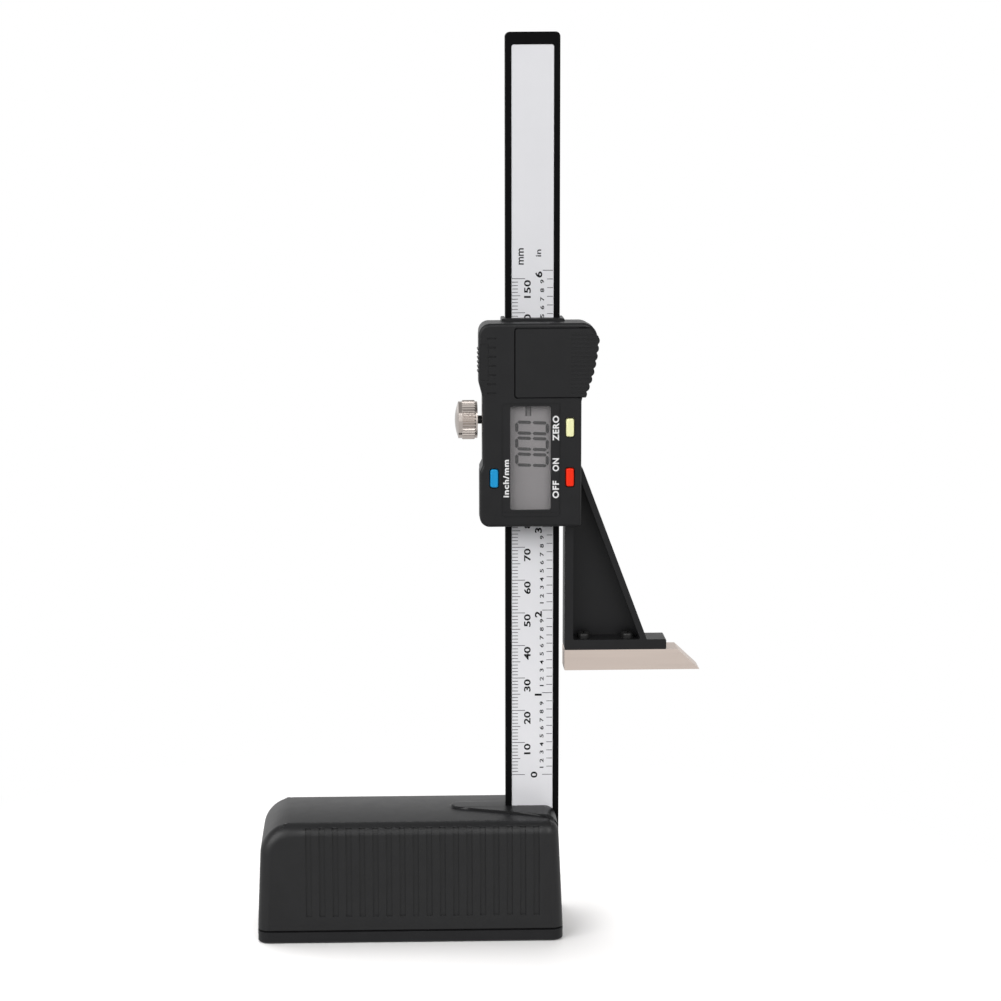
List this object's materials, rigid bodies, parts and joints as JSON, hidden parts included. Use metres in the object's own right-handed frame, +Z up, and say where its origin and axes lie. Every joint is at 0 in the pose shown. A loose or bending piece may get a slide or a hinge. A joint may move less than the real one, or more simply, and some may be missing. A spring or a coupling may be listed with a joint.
{
  "type": "digital height gauge",
  "caption": "Height gauge: a display slider with a bracket arm and bevelled scriber runs on an upright scale column in a ribbed, loaf-shaped base.",
  "frame": {"origin": "centre of the base plate's underside", "axes": "+Z up along the column; +X along the base towards the scriber; -Y towards the scale and display side"},
  "size_m": [0.1329, 0.036, 0.2681],
  "materials": {
    "base_plastic": "black moulding with a fine matt texture",
    "base_plate_paint": "satin black paint",
    "screw_steel": "plated steel",
    "screw_black": "black oxide",
    "magnet_plating": "nickel plating",
    "foot_aluminium": "as milled",
    "column_composite": "black fibre composite, satin",
    "board_laminate": "green solder resist",
    "label_film": "silver film with black print",
    "slider_plastic": "black moulding with a fine matt texture",
    "plate_steel": "brushed",
    "gib_bronze": "rolled strip",
    "bush_brass": "turned",
    "knob_nickel": "bright nickel plating, knurled",
    "switch_plastic": "moulded",
    "window_clear": "clear",
    "display_glass": "grey-green display",
    "connector_rubber": "striped elastomer",
    "cell_nickel": "polished can",
    "contact_nickel": "plated spring metal",
    "key_yellow": "moulded",
    "key_red": "moulded",
    "key_blue": "moulded",
    "scriber_steel": "ground stainless steel"
  },
  "bodies": {
    "base": {"base_housing": "base_plastic", "base_plate": "base_plate_paint", "base_plate_screws": "screw_steel", "base_magnets": "magnet_plating", "column_foot": "foot_aluminium", "foot_screws": "screw_steel", "column": "column_composite", "column_screws": "screw_steel", "scale_strip": "board_laminate", "scale_label": "label_film"},
    "slider": {"slider_frame": "slider_plastic", "front_cover": "slider_plastic", "back_plate": "plate_steel", "slider_screws": "screw_steel", "gib_strip": "gib_bronze", "lock_insert": "bush_brass", "circuit_board": "board_laminate", "tact_switches": "switch_plastic", "display_window": "window_clear", "lcd_glass": "display_glass", "lcd_connectors": "connector_rubber", "battery": "cell_nickel", "battery_spring": "contact_nickel", "battery_clip": "contact_nickel", "scriber": "scriber_steel", "scriber_screws": "screw_black"},
    "battery_door": {"battery_cover": "slider_plastic"},
    "zero_key": {"button_zero": "key_yellow"},
    "power_key": {"button_on_off": "key_red"},
    "units_key": {"button_units": "key_blue"},
    "lock_pad": {"lock_shoe": "bush_brass"},
    "lock_knob": {"lock_screw": "knob_nickel"}
  },
  "joints": [
    {"name": "slider_slide", "type": "slide", "parent": "base", "child": "slider", "axis": [0, 0, 1], "range_m": [-0.08, 0.072]},
    {"name": "battery_cover_slide", "type": "slide", "parent": "slider", "child": "battery_door", "axis": [1, 0, 0], "range_m": [0, 0.026]},
    {"name": "zero_press", "type": "slide", "parent": "slider", "child": "zero_key", "axis": [0, 1, 0], "range_m": [0, 0.0004], "stiffness_N_per_m": 400},
    {"name": "on_off_press", "type": "slide", "parent": "slider", "child": "power_key", "axis": [0, 1, 0], "range_m": [0, 0.0004], "stiffness_N_per_m": 400},
    {"name": "units_press", "type": "slide", "parent": "slider", "child": "units_key", "axis": [0, 1, 0], "range_m": [0, 0.0004], "stiffness_N_per_m": 400},
    {"name": "lock_shoe_slide", "type": "slide", "parent": "slider", "child": "lock_pad", "axis": [1, 0, 0], "range_m": [0, 0.00025]},
    {"name": "lock_screw_turn", "type": "hinge", "parent": "lock_pad", "child": "lock_knob", "pos_m": [0.0373, 0, 0.15527], "axis": [1, 0, 0], "range_deg": [0, 180]}
  ],
  "couplings": [
    {"joint": "lock_screw_turn", "follows": "lock_shoe_slide", "rad_per_m": 12566}
  ]
}
